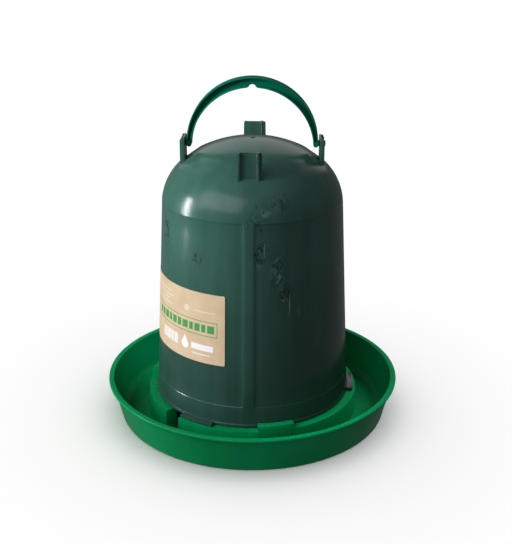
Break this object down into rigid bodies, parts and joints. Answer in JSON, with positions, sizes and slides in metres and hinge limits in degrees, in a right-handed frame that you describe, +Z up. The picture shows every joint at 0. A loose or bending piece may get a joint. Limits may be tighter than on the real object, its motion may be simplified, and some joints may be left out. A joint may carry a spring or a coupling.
{
  "type": "poultry waterer",
  "caption": "Bell-shaped plastic poultry drinker: dark green inverted tank twist-locked into a round bright green trough tray, with a swinging carrying handle and a kraft label.",
  "frame": {"origin": "on the standing surface, under the middle of the tray", "axes": "+Z up along the tank's axis; -Y is the front, the side with the plain foot and the label to its left; +X and -X carry the handle's pivots"},
  "size_m": [0.3, 0.3, 0.3456],
  "materials": {
    "tray_plastic": "glossy bright green polypropylene",
    "tank_plastic": "satin-gloss dark green recycled polypropylene with light scuffs",
    "handle_plastic": "glossy green polypropylene",
    "kraft_label": "matt kraft paper with simple printed shapes"
  },
  "bodies": {
    "tray": {"tray": "tray_plastic"},
    "tank": {"tank": "tank_plastic", "label": "kraft_label"},
    "handle": {"handle": "handle_plastic"}
  },
  "joints": [
    {"name": "bayonet_twist", "type": "hinge", "parent": "tray", "child": "tank", "pos_m": [0, 0, 0.0246], "axis": [0, 0, 1], "range_deg": [-55, 41.5]},
    {"name": "handle_swing", "type": "hinge", "parent": "tank", "child": "handle", "pos_m": [0, 0, 0.2818], "axis": [1, 0, 0], "range_deg": [-90, 90]}
  ]
}
